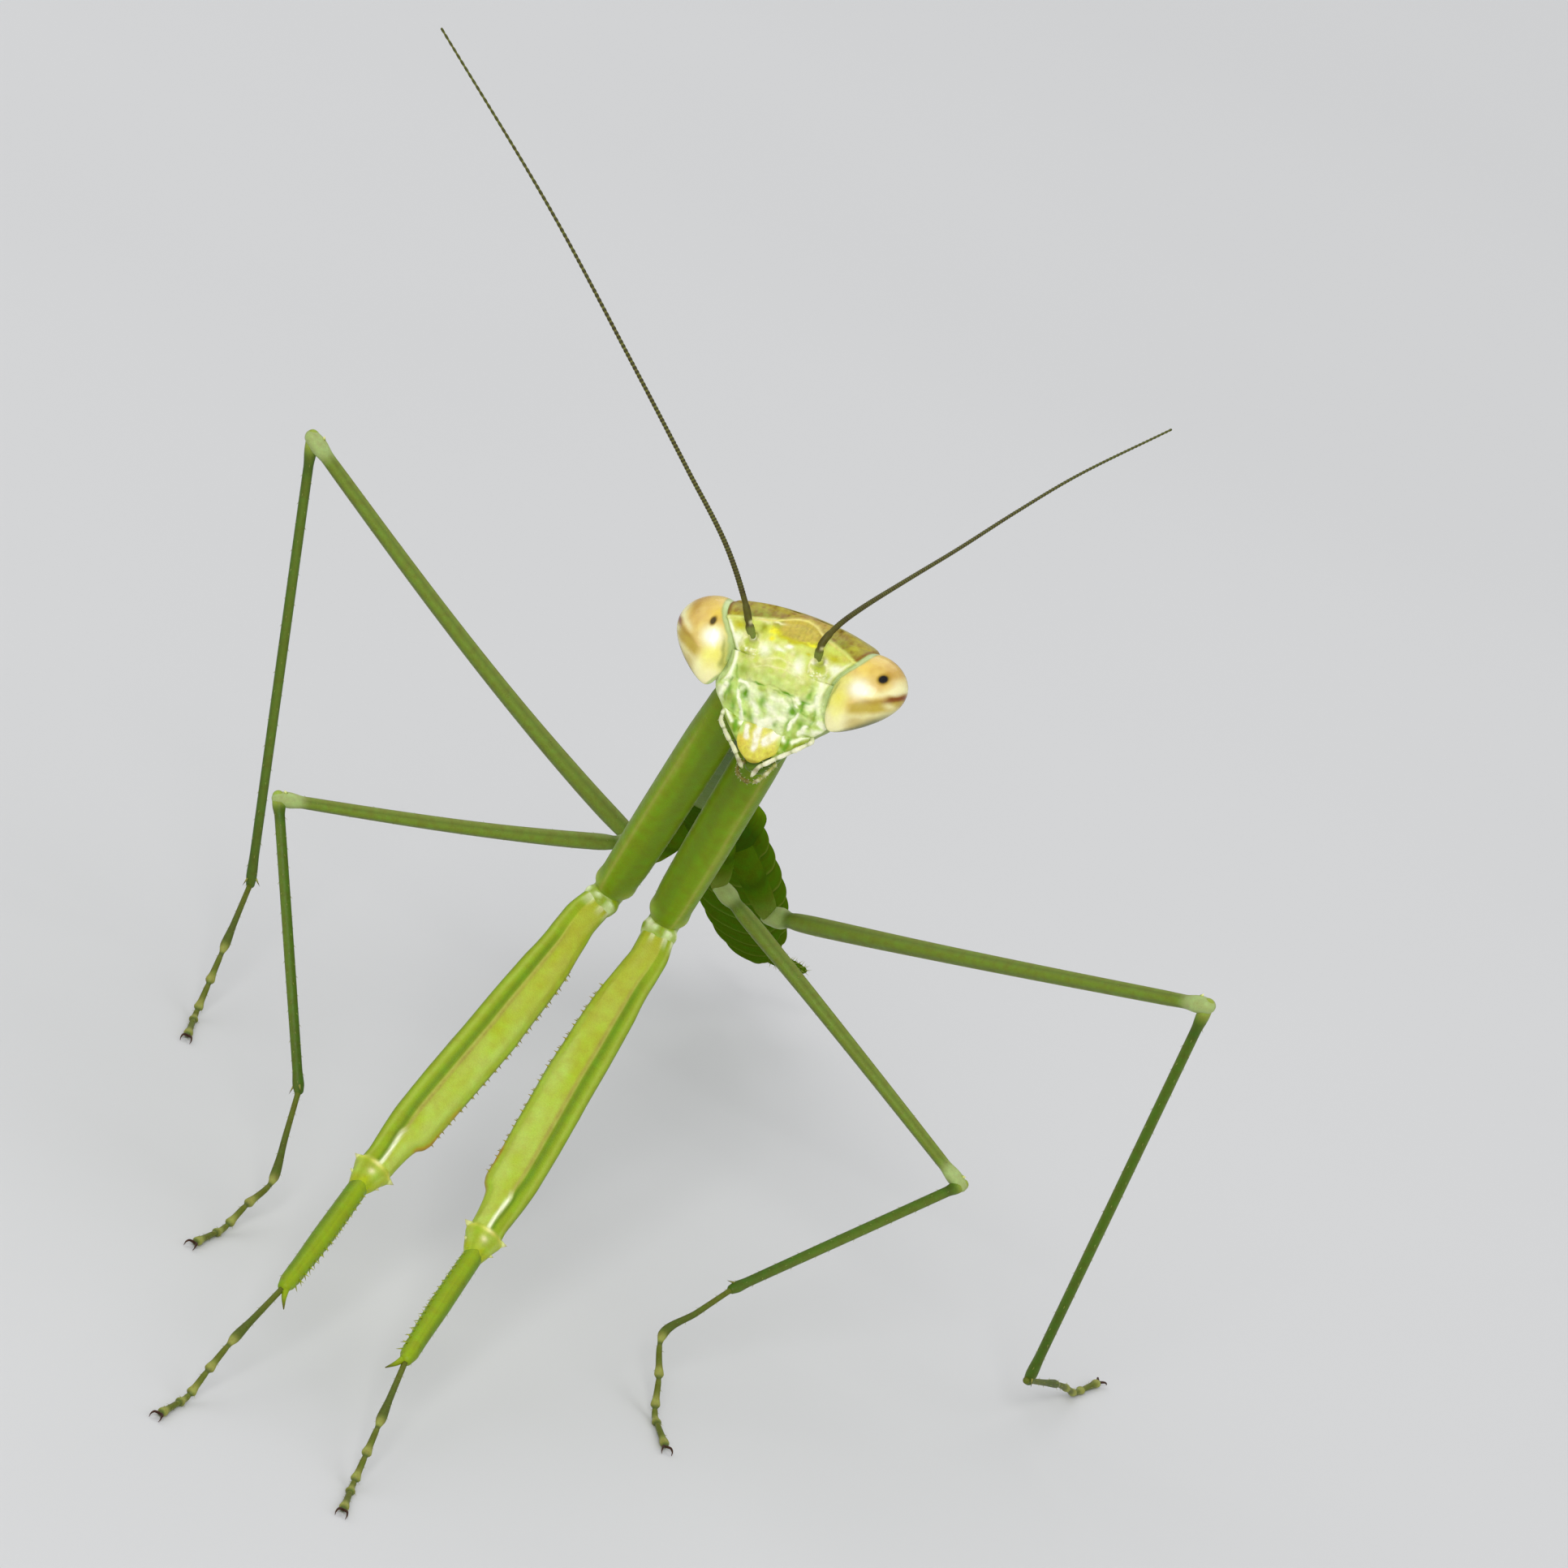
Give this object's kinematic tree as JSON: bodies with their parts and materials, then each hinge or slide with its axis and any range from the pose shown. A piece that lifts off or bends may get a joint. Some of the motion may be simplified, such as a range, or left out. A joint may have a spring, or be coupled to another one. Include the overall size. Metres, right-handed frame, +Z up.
{
  "type": "praying mantis",
  "caption": "Life-size praying mantis nymph, pale green, standing with its long toothed grasping legs stretched out in front, head turned, feelers swept up and back",
  "frame": {"origin": "centre of the animal's bounding box at the floor that its feet stand on", "axes": "+Z up; the animal's head and grasping legs point towards -Y and its abdomen towards +Y; +X is its own left side"},
  "size_m": [0.0253, 0.0346, 0.0255],
  "materials": {
    "face_cuticle": "pale translucent green with whitish lights, glossy",
    "mouth_cuticle": "yellow green lip with cream stripes, satin",
    "eye": "cream and peach with a brown band, glossy",
    "feeler": "dark olive brown, ringed, satin",
    "green_cuticle": "fresh leaf green, satin",
    "pale_cuticle": "whitish turquoise green, satin",
    "olive_cuticle": "olive green to brown, satin",
    "leg_cuticle": "grey green, satin",
    "foot_cuticle": "pale tan with dark claws, satin"
  },
  "bodies": {
    "root": {"head": "face_cuticle", "mouthparts": "mouth_cuticle", "eye_left": "eye", "eye_right": "eye", "antenna_left": "feeler", "antenna_right": "feeler", "neck": "green_cuticle", "prothorax": "green_cuticle", "mesothorax": "olive_cuticle", "metathorax": "olive_cuticle", "abdomen_front": "olive_cuticle", "abdomen_middle": "olive_cuticle", "abdomen_rear": "olive_cuticle", "cercus_left": "olive_cuticle", "cercus_right": "olive_cuticle", "fore_coxa_left": "green_cuticle", "fore_trochanter_left": "pale_cuticle", "fore_femur_left": "green_cuticle", "fore_tibia_left": "green_cuticle", "fore_tarsus_left": "foot_cuticle", "fore_coxa_right": "green_cuticle", "fore_trochanter_right": "pale_cuticle", "fore_femur_right": "green_cuticle", "fore_tibia_right": "green_cuticle", "fore_tarsus_right": "foot_cuticle", "mid_coxa_left": "olive_cuticle", "mid_femur_left": "leg_cuticle", "mid_tibia_left": "leg_cuticle", "mid_tarsus_left": "foot_cuticle", "mid_coxa_right": "olive_cuticle", "mid_femur_right": "leg_cuticle", "mid_tibia_right": "leg_cuticle", "mid_tarsus_right": "foot_cuticle", "hind_coxa_left": "olive_cuticle", "hind_femur_left": "leg_cuticle", "hind_tibia_left": "leg_cuticle", "hind_tarsus_left": "foot_cuticle", "hind_coxa_right": "olive_cuticle", "hind_femur_right": "leg_cuticle", "hind_tibia_right": "leg_cuticle", "hind_tarsus_right": "foot_cuticle"}
  },
  "joints": []
}
